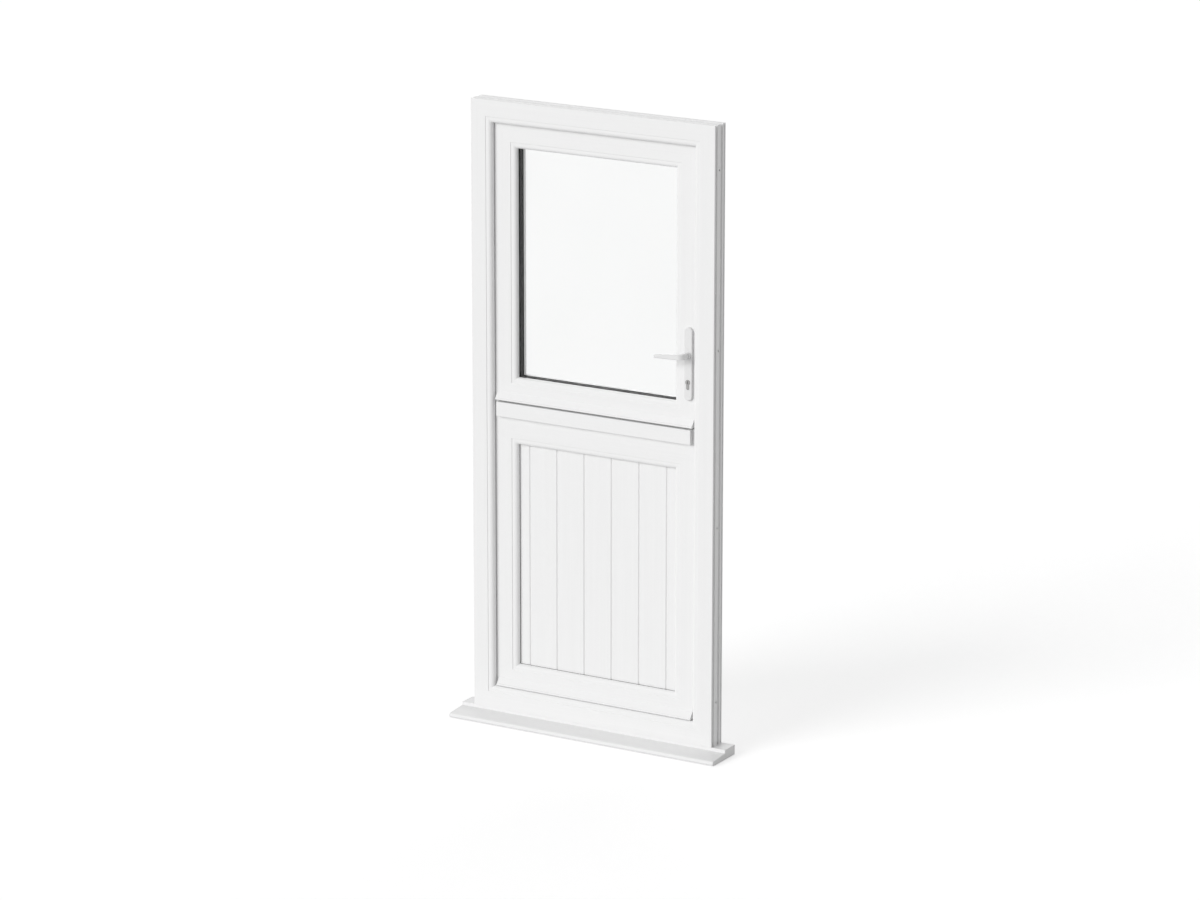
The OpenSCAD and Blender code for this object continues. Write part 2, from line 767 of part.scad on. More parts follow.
// Leaf's half of a hinge: flag on the leaf with the middle knuckle
module hinge_flag() {
    half = hinge_middle_h / 2;
    difference() {
        union() {
            along_y([leaf_y[1], leaf_y[1] + hinge_plate_t])
                rounded_box([hinge_x - edge_r, -half], [hinge_flag_end_x, half], edge_r);
            translate([hinge_x, hinge_y, -half]) cylinder(h = hinge_middle_h, r = hinge_barrel_r);
        }
        hinge_bore();
    }
}

module hinge_flags(first) {
    color("white") difference() {
        for (i = [first, first + 1]) translate([0, 0, hinge_z[i]]) hinge_flag();
        at_hinge_leaf_screws(first) screw(screw_r, screw_l, screw_clear);
    }
}

// Gaskets on both sides of the glass or the panel
module gasket_rings(z) {
    color("black") {
        sight_ring(leaf_sight_x, z, 0, gasket_w, [lip_y, unit_y]);
        sight_ring(leaf_sight_x, z, 0, gasket_w, [unit_y + unit_t, bead_y]);
    }
}

// Four mitred beads round the inside of an opening
module beads(z) {
    ends = [z[0] - 2 * ovolo_w, z[1] + 2 * ovolo_w];
    color("white") {
        both_sides() upright_bar(leaf_sight_x, z, ends, bead_gap) bead_section();
        level_bar(leaf_sight_x, z[0], -1, bead_gap) bead_section();
        level_bar(leaf_sight_x, z[1], 1, bead_gap) bead_section();
    }
}

// Packers that carry the glass or the panel on the bottom rail and hold it between the stiles
module packers(z) {
    color("gray") both_sides() {
        translate([(leaf_sight_x - packer_l) / 2, unit_y, z[0] - ovolo_w])
            cube([packer_l, unit_t, packer_t]);
        translate([leaf_sight_x + unit_cover, unit_y, (z[0] + z[1] - packer_l) / 2])
            cube([packer_t, unit_t, packer_l]);
    }
}

// Drip bar with its underside at a height, and its end caps
module drip_bar(z) {
    half = drip_x - drip_cap_t;
    color("white") along_x([-half, half]) drip_section(z);
}

module drip_caps(z) {
    color("white") both_sides() along_x([drip_x - drip_cap_t, drip_x]) drip_section(z);
}

// Seal on the flange of a leaf, along its sides and its closed end
module flange_seal(z) {
    inner_x = rebate_x + seal_inset;
    inner_z = [frame_z[0] + frame_web_w - seal_inset, frame_z[1] - frame_web_w + seal_inset];
    color("dimgray") intersection() {
        sight_ring(inner_x, inner_z, 0, seal_w, [frame_d + seal_clear, flange_y]);
        translate([-far, -far, z[0]]) cube([2 * far, 2 * far, z[1] - z[0]]);
    }
}

// Upper leaf

module upper_upright() {
    upright_bar(leaf_sight_x, upper_sight_z, [upper_z[0], upper_z[1] + flange_w + ovolo_w])
        leaf_section(leaf_rail_w, true);
}

module upper_top_rail() {
    color("white") level_bar(leaf_sight_x, upper_sight_z[1], 1) leaf_section(leaf_rail_w, true);
}

module upper_bottom_rail() {
    color("white") difference() {
        level_bar(leaf_sight_x, upper_sight_z[0], -1) leaf_section(upper_rail_w, false);
        at_coupling_keeper_screws() screw(screw_r, screw_l, screw_clear);
    }
}

module upper_hinge_stile() {
    color("white") difference() {
        mirror([1, 0, 0]) upper_upright();
        at_hinge_leaf_screws(2) screw(screw_r, screw_l, screw_clear);
    }
}

module upper_lock_stile() {
    case_gap = [fit_clear, fit_clear, fit_clear];
    color("white") difference() {
        upper_upright();
        translate([case_x[0], lock_y - case_t / 2, case_z[0]] - case_gap)
            cube([case_d + 2 * faceplate_t, case_t, case_z[1] - case_z[0]] + 2 * case_gap);
        spindle_bore(journal_r + cut);
        along_y([-far, far]) cylinder_shape(cut);
        at_handle_screws() screw(handle_screw_r, handle_screw_l, screw_clear);
        at_faceplate_screws() screw(screw_r, screw_l, screw_clear);
    }
}

module outer_pane() {
    pane(unit_y);
}

module inner_pane() {
    pane(unit_y + pane_t + cavity_t);
}

// Glass pane with its outer face at a depth
module pane(y) {
    z = [upper_sight_z[0] - unit_cover, upper_sight_z[1] + unit_cover];
    half = leaf_sight_x + unit_cover;
    color("lightcyan", 0.4) translate([-half, y, z[0]]) cube([2 * half, pane_t, z[1] - z[0]]);
}

module pane_spacer() {
    y = unit_y + pane_t;
    color("black") sight_ring(leaf_sight_x, upper_sight_z, 0, gasket_w, [y, y + cavity_t]);
}

module glass_gaskets() {
    gasket_rings(upper_sight_z);
}

module glazing_beads() {
    beads(upper_sight_z);
}

module glazing_packers() {
    packers(upper_sight_z);
}

module upper_drip_bar() {
    drip_bar(upper_z[0] + drip_gap);
}

module upper_drip_caps() {
    drip_caps(upper_z[0] + drip_gap);
}

module upper_leaf_seal() {
    flange_seal([upper_z[0], frame_z[1]]);
}

module upper_hinge_leaves() {
    hinge_flags(2);
}

module upper_screws() {
    color("silver") {
        at_hinge_leaf_screws(2) screw(screw_r, screw_l);
        at_faceplate_screws() screw(screw_r, screw_l);
        at_cylinder_screw() screw(handle_screw_r, cylinder_screw_l);
        at_coupling_keeper_screws() screw(screw_r, screw_l);
    }
}

// Lock and handle

// Round bore on the spindle's axis, right through the leaf
module spindle_bore(r) {
    translate([spindle_x, far, spindle_z]) rotate([90, 0, 0]) cylinder(h = 2 * far, r = r);
}

// Outline of the cylinder in X and Z: a round part above a leg with a round foot
module cylinder_shape(grow) {
    half = cylinder_leg_w / 2 + grow;
    translate([spindle_x, cylinder_z]) circle(cylinder_r + grow);
    translate([spindle_x - half, cylinder_leg_z]) square([2 * half, cylinder_z - cylinder_leg_z]);
    translate([spindle_x, cylinder_leg_z]) circle(half);
}

// Room of latch and dead bolt, from behind their drawn position to in front of the faceplate
module bolt_room() {
    x0 = leaf_edge_x - bolt_l - bolt_draw - bolt_clear;
    w = bolt_t + 2 * bolt_clear;
    for (b = [[latch_z, latch_h], [dead_bolt_z, dead_bolt_h]])
        translate([x0, lock_y - w / 2, b[0] - b[1] / 2 - bolt_clear])
            cube([leaf_edge_x + cut - x0, w, b[1] + 2 * bolt_clear]);
}

module lock_case() {
    color("silver") difference() {
        translate([case_x[0], lock_y - case_t / 2, case_z[0]]) cube([case_d, case_t, case_z[1] - case_z[0]]);
        bolt_room();
        spindle_bore(spindle_w / sqrt(2) + fit_clear);
        along_y([-far, far]) cylinder_shape(fit_clear);
        at_cylinder_screw() screw(handle_screw_r, cylinder_screw_l, screw_clear);
    }
}

module lock_faceplate() {
    color("silver") difference() {
        along_x([leaf_edge_x - faceplate_t, leaf_edge_x])
            rounded_box([lock_y - faceplate_w / 2, faceplate_z[0]],
                [lock_y + faceplate_w / 2, faceplate_z[1]], faceplate_w / 3);
        bolt_room();
        at_faceplate_screws() screw(screw_r, screw_l, screw_clear);
        at_cylinder_screw() screw(handle_screw_r, cylinder_screw_l, screw_clear);
    }
}

module latch_bolt() {
    x = [leaf_edge_x - bolt_l, leaf_edge_x];
    y = [lock_y - bolt_t / 2, lock_y + bolt_t / 2];
    color("silver") translate([0, 0, latch_z - latch_h / 2]) linear_extrude(latch_h)
        polygon([
            [x[0], y[0]],
            [x[1] - bolt_t, y[0]],
            [x[1], y[1] - latch_tip_t],
            [x[1], y[1]],
            [x[0], y[1]],
        ]);
}

module dead_bolt() {
    color("silver") translate([leaf_edge_x - bolt_l, lock_y - bolt_t / 2, dead_bolt_z - dead_bolt_h / 2])
        cube([bolt_l, bolt_t, dead_bolt_h]);
}

// Section of a backplate across its width, with round front edges
module backplate_section(half_only) {
    intersection() {
        rounded_box([-plate_end_r, -plate_t], [plate_end_r, plate_t], plate_edge_r);
        translate([half_only ? 0 : -plate_w, 0]) square([2 * plate_w, plate_t + cut]);
    }
}

// Backplate on the leaf's outer face: a straight length between two half-round ends
module backplate() {
    translate([spindle_x, leaf_y[0], handle_screw_z[0]]) mirror([0, 1, 0])
        linear_extrude(handle_screw_z[1] - handle_screw_z[0]) backplate_section(false);
    translate([spindle_x, leaf_y[0], handle_screw_z[1]]) rotate([90, 0, 0])
        rotate_extrude(angle = 180) backplate_section(true);
    translate([spindle_x, leaf_y[0], handle_screw_z[0]]) rotate([90, 0, 0]) rotate([0, 0, 180])
        rotate_extrude(angle = 180) backplate_section(true);
}

// The same piece on the leaf's inner face
module on_inside() {
    translate([0, 2 * leaf_mid_y, 0]) mirror([0, 1, 0]) children();
}

module outside_backplate() {
    color("whitesmoke") difference() {
        backplate();
        spindle_bore(journal_r + running_clear);
        along_y([-far, far]) cylinder_shape(fit_clear);
        at_handle_screws() screw(handle_screw_r, handle_screw_l, screw_clear);
    }
}

module inside_backplate() {
    color("whitesmoke") difference() {
        on_inside() backplate();
        spindle_bore(journal_r + running_clear);
        along_y([-far, far]) cylinder_shape(fit_clear);
        at_handle_screws() screw(handle_screw_r, handle_screw_l, screw_clear);
    }
}

module handle_screws() {
    color("silver") at_handle_screws() screw(handle_screw_r, handle_screw_l);
}

// Section of the lever's neck and bend: round above and below, flat on both sides
module lever_section() {
    intersection() {
        circle(d = lever_root_h);
        translate([-lever_t / 2, -lever_root_h]) square([lever_t, 2 * lever_root_h]);
    }
}

// Lever on the leaf's outer face: journal, collar, neck, bend, arm and round tip
module lever() {
    tip_x = lever_t / 2 - lever_l;
    bend = [-lever_bend_r, lever_y + lever_bend_r, 0];
    collar_y = plate_front_y - fit_clear;
    difference() {
        translate([spindle_x, 0, spindle_z]) rotate([0, -lever_droop, 0]) {
            translate([0, leaf_y[0], 0]) rotate([90, 0, 0])
                cylinder(h = plate_t + fit_clear, r = journal_r);
            translate([0, collar_y, 0]) rotate([90, 0, 0]) cylinder(h = collar_h, r = collar_r);
            along_y([bend[1], collar_y]) lever_section();
            translate(bend) rotate([0, 0, -90]) rotate_extrude(angle = 90)
                translate([lever_bend_r, 0]) lever_section();
            intersection() {
                translate([bend[0], lever_y, 0]) rotate([0, -90, 0])
                    cylinder(h = bend[0] - tip_x, d1 = lever_root_h, d2 = lever_tip_h);
                translate([-lever_l, lever_y - lever_t / 2, -lever_root_h])
                    cube([lever_l, lever_t, 2 * lever_root_h]);
            }
            translate([tip_x, lever_y, 0]) rotate([0, 0, 90]) rotate_extrude(angle = 180)
                intersection() {
                    circle(d = lever_tip_h);
                    translate([0, -lever_tip_h]) square([lever_t / 2, 2 * lever_tip_h]);
                }
        }
        spindle_square(screw_clear);
    }
}

// The square spindle from lever to lever, or the hole for it
module spindle_square(grow) {
    w = spindle_w + 2 * grow;
    y0 = plate_front_y - collar_h;
    translate([spindle_x - w / 2, y0, spindle_z - w / 2]) cube([w, 2 * (leaf_mid_y - y0), w]);
}

module outside_lever() {
    color("whitesmoke") lever();
}

module inside_lever() {
    color("whitesmoke") on_inside() lever();
}

module spindle() {
    color("silver") spindle_square(0);
}

// Key plug from the outer end of the cylinder, with the slot for the key, or its bore
module key_plug() {
    difference() {
        translate([spindle_x, cylinder_y[0] + plug_l, cylinder_z]) rotate([90, 0, 0])
            cylinder(h = plug_l + plug_proud, r = plug_r);
        translate([spindle_x - key_slot_w / 2, cylinder_y[0] - plug_proud - cut, cylinder_z - key_slot_h / 2])
            cube([key_slot_w, key_slot_d + cut, key_slot_h]);
    }
}

module plug_bore() {
    translate([spindle_x, cylinder_y[0] + plug_l + fit_clear, cylinder_z]) rotate([90, 0, 0])
        cylinder(h = plug_l + fit_clear + cut, r = plug_r + running_clear);
}

module cylinder_body() {
    color("silver") difference() {
        along_y(cylinder_y) cylinder_shape(0);
        plug_bore();
        on_inside() plug_bore();
        at_cylinder_screw() screw(handle_screw_r, cylinder_screw_l, screw_clear);
    }
}

module outside_key_plug() {
    color("gray") key_plug();
}

module inside_key_plug() {
    color("gray") on_inside() key_plug();
}

// Lower leaf

module lower_upright() {
    upright_bar(leaf_sight_x, lower_sight_z, [lower_z[0] - flange_w - ovolo_w, sash_top_z])
        leaf_section(leaf_rail_w, true);
}

module lower_top_rail() {
    color("white") difference() {
        level_bar(leaf_sight_x, lower_sight_z[1], 1) leaf_section(leaf_rail_w, false);
        at_coupling_screws() screw(screw_r, screw_l, screw_clear);
    }
}

module lower_bottom_rail() {
    color("white") level_bar(leaf_sight_x, lower_sight_z[0], -1) leaf_section(leaf_rail_w, true);
}

module lower_hinge_stile() {
    color("white") difference() {
        mirror([1, 0, 0]) lower_upright();
        at_hinge_leaf_screws(0) screw(screw_r, screw_l, screw_clear);
    }
}

module lower_lock_stile() {
    color("white") difference() {
        lower_upright();
        at_lower_bolt_screws() screw(screw_r, screw_l, screw_clear);
    }
}

// Panel in planks: V grooves on both faces, spaced from the middle
module infill_panel() {
    half = leaf_sight_x + unit_cover;
    z = [lower_sight_z[0] - unit_cover, lower_sight_z[1] + unit_cover];
    groove = [[-plank_groove_w / 2, -skim], [plank_groove_w / 2, -skim], [0, plank_groove_d]];
    color("white") translate([0, unit_y, z[0]]) linear_extrude(z[1] - z[0]) difference() {
        translate([-half, 0]) square([2 * half, unit_t]);
        for (i = [-plank_count : plank_count - 1]) translate([(i + 0.5) * plank_w, 0]) {
            polygon(groove);
            translate([0, unit_t]) mirror([0, 1]) polygon(groove);
        }
    }
}

module panel_gaskets() {
    gasket_rings(lower_sight_z);
}

module panel_beads() {
    beads(lower_sight_z);
}

module panel_packers() {
    packers(lower_sight_z);
}

module meeting_rail() {
    half = strip_x - drip_cap_t;
    color("white") difference() {
        union() {
            along_x([-leaf_edge_x, leaf_edge_x])
                rounded_box([leaf_y[0], sash_top_z], [leaf_y[1], lower_z[1]], edge_r);
            along_x([-flange_x, flange_x])
                rounded_box([flange_y, sash_top_z], [leaf_y[1], lower_z[1]], edge_r);
            along_x([-half, half])
                rounded_box([strip_front_y, strip_z], [leaf_y[0] + drip_r + edge_r, lower_z[1]], drip_r);
        }
        at_coupling_screws() screw(screw_r, screw_l, screw_clear);
    }
}

module lower_drip_bar() {
    drip_bar(frame_sight_z[0] + drip_gap);
}

// End caps of the lower drip bar and of the meeting rail's strip
module lower_end_caps() {
    drip_caps(frame_sight_z[0] + drip_gap);
    color("white") both_sides() along_x([strip_x - drip_cap_t, strip_x]) difference() {
        rounded_box([strip_front_y, strip_z], [leaf_y[0] + 2 * drip_r, lower_z[1]], drip_r);
        translate([leaf_y[0], strip_z - cut]) square([drip_d, strip_h + 2 * cut]);
    }
}

// Flange seal of the lower leaf and the seal under the upper leaf
module lower_leaf_seals() {
    flange_seal([frame_z[0], lower_z[1]]);
    color("dimgray") along_x([-leaf_edge_x, leaf_edge_x])
        translate([lock_y, lower_z[1]]) square([seal_w, split_gap - seal_clear]);
}

module lower_hinge_leaves() {
    hinge_flags(0);
}

module lower_screws() {
    color("silver") {
        at_hinge_leaf_screws(0) screw(screw_r, screw_l);
        at_coupling_screws() screw(screw_r, screw_l);
        at_lower_bolt_screws() screw(screw_r, screw_l);
    }
}

// Bolts of the leaves

// Loop round a rod along Z, on a foot that stands at a depth
module rod_loop(y0, l, clear) {
    difference() {
        union() {
            translate([-loop_r, y0, 0]) cube([2 * loop_r, rod_y - y0, l]);
            translate([0, rod_y, 0]) cylinder(h = l, r = loop_r);
        }
        translate([0, rod_y, -cut]) cylinder(h = l + 2 * cut, r = rod_r + clear);
    }
}

// Base plate with a loop at each end, for a rod along Z
module bolt_guide(l) {
    along_y([leaf_y[1], base_y]) rounded_box([-base_w / 2, 0], [base_w / 2, l], edge_r);
    for (z = [0, l - loop_l]) translate([0, 0, z]) rod_loop(leaf_y[1], loop_l, running_clear);
}

// Rod along Z with a knob in front of it
module bolt_rod(l) {
    translate([0, rod_y, 0]) cylinder(h = l, r = rod_r);
    translate([0, rod_y, loop_l + knob_stem_r + fit_clear]) rotate([-90, 0, 0]) {
        cylinder(h = knob_rise, r = knob_stem_r);
        translate([0, 0, knob_rise]) sphere(knob_r);
    }
}

module coupling_guide() {
    color("white") difference() {
        translate([coupling_x, 0, coupling_z[0]]) bolt_guide(coupling_l);
        at_coupling_screws() screw(screw_r, screw_l, screw_clear);
    }
}

module coupling_bolt() {
    color("silver") translate([coupling_x, 0, coupling_z[0]]) bolt_rod(coupling_l);
}

module coupling_keeper() {
    color("white") difference() {
        union() {
            along_y([leaf_y[1], base_y])
                rounded_box([coupling_x - keeper_half, coupling_keeper_z],
                    [coupling_x + keeper_half, coupling_keeper_z + keeper_l], edge_r);
            translate([coupling_x, 0, coupling_keeper_z]) rod_loop(leaf_y[1], keeper_l, keeper_clear);
        }
        at_coupling_keeper_screws() screw(screw_r, screw_l, screw_clear);
    }
}

// Turns a bolt drawn along Z into the lower leaf's, which runs along X
module as_lower_bolt() {
    translate([lower_bolt_x[0], 0, lower_bolt_z]) rotate([0, 90, 0]) children();
}

module lower_bolt_guide() {
    color("white") difference() {
        as_lower_bolt() bolt_guide(lower_bolt_l);
        at_lower_bolt_screws() screw(screw_r, screw_l, screw_clear);
    }
}

module lower_bolt() {
    color("silver") as_lower_bolt() bolt_rod(lower_bolt_l);
}

frame_head();
frame_threshold();
frame_hinge_jamb();
frame_lock_jamb();
sill();
sill_end_caps();
frame_seal();
lock_keep();
lower_keep();
hinge_frame_leaves();
hinge_pins();
frame_screws();
upper_top_rail();
upper_bottom_rail();
upper_hinge_stile();
upper_lock_stile();
outer_pane();
inner_pane();
pane_spacer();
glass_gaskets();
glazing_beads();
glazing_packers();
upper_drip_bar();
upper_drip_caps();
upper_leaf_seal();
upper_hinge_leaves();
upper_screws();
lock_case();
lock_faceplate();
outside_backplate();
inside_backplate();
cylinder_body();
handle_screws();
coupling_keeper();
outside_lever();
inside_lever();
spindle();
latch_bolt();
dead_bolt();
outside_key_plug();
inside_key_plug();
lower_top_rail();
lower_bottom_rail();
lower_hinge_stile();
lower_lock_stile();
infill_panel();
panel_gaskets();
panel_beads();
panel_packers();
meeting_rail();
lower_drip_bar();
lower_end_caps();
lower_leaf_seals();
lower_hinge_leaves();
lower_screws();
coupling_guide();
coupling_bolt();
lower_bolt_guide();
lower_bolt();
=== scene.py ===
import math

import bpy
from mathutils import Matrix, Vector


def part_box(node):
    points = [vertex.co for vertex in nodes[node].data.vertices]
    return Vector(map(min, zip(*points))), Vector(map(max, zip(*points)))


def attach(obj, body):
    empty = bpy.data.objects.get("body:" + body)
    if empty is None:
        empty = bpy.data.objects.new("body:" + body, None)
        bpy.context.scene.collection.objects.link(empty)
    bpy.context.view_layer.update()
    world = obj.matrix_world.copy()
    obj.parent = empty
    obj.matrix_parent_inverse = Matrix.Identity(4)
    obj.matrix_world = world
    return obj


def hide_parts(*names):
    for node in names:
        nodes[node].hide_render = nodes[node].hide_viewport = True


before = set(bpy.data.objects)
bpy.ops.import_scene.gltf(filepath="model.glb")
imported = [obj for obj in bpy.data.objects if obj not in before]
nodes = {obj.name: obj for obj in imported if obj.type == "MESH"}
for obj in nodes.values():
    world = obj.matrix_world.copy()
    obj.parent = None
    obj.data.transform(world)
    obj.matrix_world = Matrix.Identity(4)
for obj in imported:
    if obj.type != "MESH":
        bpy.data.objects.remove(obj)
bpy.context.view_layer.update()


# Modelling by hand: every new piece starts as a primitive at its size and place

SAME_PLANE = 1e-5
LONG_EDGE = 0.01
FACING = 0.9


def lay_tools_down():
    """Leaves nothing selected, so that the next operator acts on the new piece alone."""
    if bpy.context.object and bpy.context.object.mode != "OBJECT":
        bpy.ops.object.mode_set(mode="OBJECT")
    bpy.ops.object.select_all(action="DESELECT")


def pick(piece):
    """Makes one piece the selected and active one."""
    lay_tools_down()
    piece.select_set(True)
    bpy.context.view_layer.objects.active = piece


def settle(piece):
    """Puts a piece's place into its mesh, with the object itself at the origin."""
    pick(piece)
    bpy.ops.object.transform_apply(location=True, rotation=True, scale=True)
    return piece


def block(name, low, high):
    """A box between two corners, ready to be shaped."""
    lay_tools_down()
    middle = [(a + b) / 2 for a, b in zip(low, high)]
    bpy.ops.mesh.primitive_cube_add(size=1, location=middle, scale=[b - a for a, b in zip(low, high)])
    piece = bpy.context.object
    piece.name = name
    return settle(piece)


def choose_edges(piece, wanted):
    """Goes into edit mode with the edges selected whose two ends pass a test."""
    pick(piece)
    bpy.ops.object.mode_set(mode="EDIT")
    bpy.ops.mesh.select_mode(type="EDGE")
    bpy.ops.mesh.select_all(action="DESELECT")
    bpy.ops.object.mode_set(mode="OBJECT")
    corners = piece.data.vertices
    for edge in piece.data.edges:
        a, b = (corners[i].co for i in edge.vertices)
        edge.select = wanted(a, b)
    bpy.ops.object.mode_set(mode="EDIT")


def choose_faces(piece, wanted):
    """Goes into edit mode with the faces selected that pass a test."""
    pick(piece)
    bpy.ops.object.mode_set(mode="EDIT")
    bpy.ops.mesh.select_mode(type="FACE")
    bpy.ops.mesh.select_all(action="DESELECT")
    bpy.ops.object.mode_set(mode="OBJECT")
    for face in piece.data.polygons:
        face.select = wanted(face)
    bpy.ops.object.mode_set(mode="EDIT")


def leave_edit_mode():
    bpy.ops.object.mode_set(mode="OBJECT")


def joined(name, pieces):
    """Several pieces made one."""
    lay_tools_down()
    for piece in pieces:
        piece.select_set(True)
    bpy.context.view_layer.objects.active = pieces[0]
    if len(pieces) > 1:
        bpy.ops.object.join()
    whole = bpy.context.object
    whole.name = name
    whole.data.name = name
    return whole


def smooth(piece, degrees):
    """Rounds the shading where faces meet at a shallow angle."""
    pick(piece)
    bpy.ops.object.shade_smooth_by_angle(angle=math.radians(degrees))


# Finishes

PLASTIC_IOR, GLASS_IOR = 1.5, 1.2


def finish_tree(name):
    """A new material with its shader and Object coordinates."""
    material = bpy.data.materials.new(name)
    material.use_nodes = True
    tree = material.node_tree
    shader = tree.nodes["Principled BSDF"]
    place = tree.nodes.new("ShaderNodeTexCoord")
    return material, tree, shader, place.outputs["Object"]


def grain(tree, place, scale, stretch=(1, 1, 1), detail=2.0):
    """Noise over the surface, stretched along the piece where it was drawn or brushed."""
    mapping = tree.nodes.new("ShaderNodeMapping")
    mapping.inputs["Scale"].default_value = stretch
    tree.links.new(place, mapping.inputs["Vector"])
    noise = tree.nodes.new("ShaderNodeTexNoise")
    noise.inputs["Scale"].default_value = scale
    noise.inputs["Detail"].default_value = detail
    tree.links.new(mapping.outputs["Vector"], noise.inputs["Vector"])
    return noise.outputs["Fac"]


def between(tree, value, low, high, start=0.3, end=0.7):
    """A colour or a number that runs from low to high with a noise value."""
    if isinstance(low, tuple):
        ramp = tree.nodes.new("ShaderNodeValToRGB")
        ramp.color_ramp.elements[0].position = start
        ramp.color_ramp.elements[0].color = (*low, 1)
        ramp.color_ramp.elements[1].position = end
        ramp.color_ramp.elements[1].color = (*high, 1)
        tree.links.new(value, ramp.inputs["Fac"])
        return ramp.outputs["Color"]
    spread = tree.nodes.new("ShaderNodeMapRange")
    spread.inputs["From Min"].default_value = start
    spread.inputs["From Max"].default_value = end
    spread.inputs["To Min"].default_value = low
    spread.inputs["To Max"].default_value = high
    tree.links.new(value, spread.inputs["Value"])
    return spread.outputs["Result"]


def roughen(tree, shader, height, strength, distance):
    """A fine relief."""
    bump = tree.nodes.new("ShaderNodeBump")
    bump.inputs["Strength"].default_value = strength
    bump.inputs["Distance"].default_value = distance
    tree.links.new(height, bump.inputs["Height"])
    tree.links.new(bump.outputs["Normal"], shader.inputs["Normal"])


def moulded(name, low, high, rough, streak, grain_scale=600):
    """Extruded or moulded plastic: faint streaks along the piece, a fine skin and an uneven gloss."""
    material, tree, shader, place = finish_tree(name)
    streaks = grain(tree, place, 1.0, streak, detail=3.0)
    tree.links.new(between(tree, streaks, low, high), shader.inputs["Base Color"])
    cloud = grain(tree, place, 9.0)
    tree.links.new(between(tree, cloud, rough[0], rough[1]), shader.inputs["Roughness"])
    roughen(tree, shader, grain(tree, place, grain_scale), strength=0.02, distance=0.0004)
    shader.inputs["IOR"].default_value = PLASTIC_IOR
    return material


def coated(name, low, high, rough):
    """Powder coat on metal: an even colour with the fine ripple of the coat."""
    material, tree, shader, place = finish_tree(name)
    cloud = grain(tree, place, 40.0, detail=3.0)
    tint = between(tree, cloud, low, high, start=0.1, end=0.9)
    tree.links.new(tint, shader.inputs["Base Color"])
    gloss = between(tree, cloud, rough[0], rough[1], start=0.1, end=0.9)
    tree.links.new(gloss, shader.inputs["Roughness"])
    roughen(tree, shader, grain(tree, place, 420.0), strength=0.08, distance=0.0004)
    shader.inputs["IOR"].default_value = PLASTIC_IOR
    return material


def soft_rubber(name, low, high):
    """Rubber with a dusty bloom."""
    material, tree, shader, place = finish_tree(name)
    bloom = grain(tree, place, 55.0, detail=4.0)
    tree.links.new(between(tree, bloom, low, high), shader.inputs["Base Color"])
    tree.links.new(between(tree, bloom, 0.62, 0.8), shader.inputs["Roughness"])
    roughen(tree, shader, grain(tree, place, 900.0), strength=0.15, distance=0.0003)
    return material


def drawn_metal(name, low, high, rough, brush):
    """Plated or brushed metal with fine lines."""
    material, tree, shader, place = finish_tree(name)
    lines = grain(tree, place, 1.0, brush, detail=3.0)
    tree.links.new(between(tree, lines, low, high), shader.inputs["Base Color"])
    tree.links.new(between(tree, lines, rough[0], rough[1]), shader.inputs["Roughness"])
    roughen(tree, shader, lines, strength=0.05, distance=0.0003)
    shader.inputs["Metallic"].default_value = 1.0
    return material


def window_glass(name):
    """Clear float glass, with the faint unevenness of its surface."""
    material, tree, shader, place = finish_tree(name)
    wave = grain(tree, place, 3.0)
    tint = between(tree, wave, (0.956, 0.959, 0.958), (0.964, 0.967, 0.966))
    tree.links.new(tint, shader.inputs["Base Color"])
    roughen(tree, shader, wave, strength=0.02, distance=0.0005)
    shader.inputs["Roughness"].default_value = 0.0
    shader.inputs["IOR"].default_value = GLASS_IOR
    shader.inputs["Transmission Weight"].default_value = 1.0
    return material


WHITE_LOW, WHITE_HIGH = (0.838, 0.838, 0.838), (0.852, 0.852, 0.852)
upright_profile = moulded("upright_profile", WHITE_LOW, WHITE_HIGH, (0.30, 0.35), (160, 160, 1.5))
level_profile = moulded("level_profile", WHITE_LOW, WHITE_HIGH, (0.30, 0.35), (1.5, 160, 160))
plank_panel = moulded("plank_panel", (0.84, 0.84, 0.84), (0.856, 0.856, 0.856), (0.34, 0.4), (120, 120, 2),
                      grain_scale=380)
white_cap = moulded("white_cap", (0.80, 0.80, 0.80), (0.83, 0.83, 0.83), (0.32, 0.42), (30, 30, 30))
packer_plastic = moulded("packer_plastic", (0.20, 0.26, 0.34), (0.24, 0.30, 0.38), (0.4, 0.55), (20, 20, 20))
# White coat on the handles, painted darker than the profiles as painted shade for the darker middle of the
# door
handle_coat_painted_shade = coated("handle_coat_painted_shade", (0.75, 0.75, 0.75), (0.78, 0.78, 0.78), (0.26, 0.34))
hinge_coat = coated("hinge_coat", (0.80, 0.80, 0.80), (0.84, 0.84, 0.84), (0.32, 0.44))
black_rubber = soft_rubber("black_rubber", (0.012, 0.012, 0.012), (0.03, 0.03, 0.03))
grey_rubber = soft_rubber("grey_rubber", (0.10, 0.10, 0.10), (0.16, 0.16, 0.16))
spacer_bar = soft_rubber("spacer_bar", (0.015, 0.015, 0.015), (0.035, 0.035, 0.035))
zinc_plate = drawn_metal("zinc_plate", (0.56, 0.56, 0.57), (0.68, 0.68, 0.69), (0.28, 0.42), (60, 900, 60))
STEEL_LOW, STEEL_HIGH = (0.60, 0.60, 0.60), (0.70, 0.70, 0.70)
upright_rod = drawn_metal("upright_rod", STEEL_LOW, STEEL_HIGH, (0.2, 0.3), (1800, 1800, 25))
level_rod = drawn_metal("level_rod", STEEL_LOW, STEEL_HIGH, (0.2, 0.3), (25, 1800, 1800))
satin_nickel = drawn_metal("satin_nickel", (0.34, 0.34, 0.34), (0.44, 0.44, 0.43), (0.28, 0.4), (90, 90, 90))
clear_glass = window_glass("clear_glass")

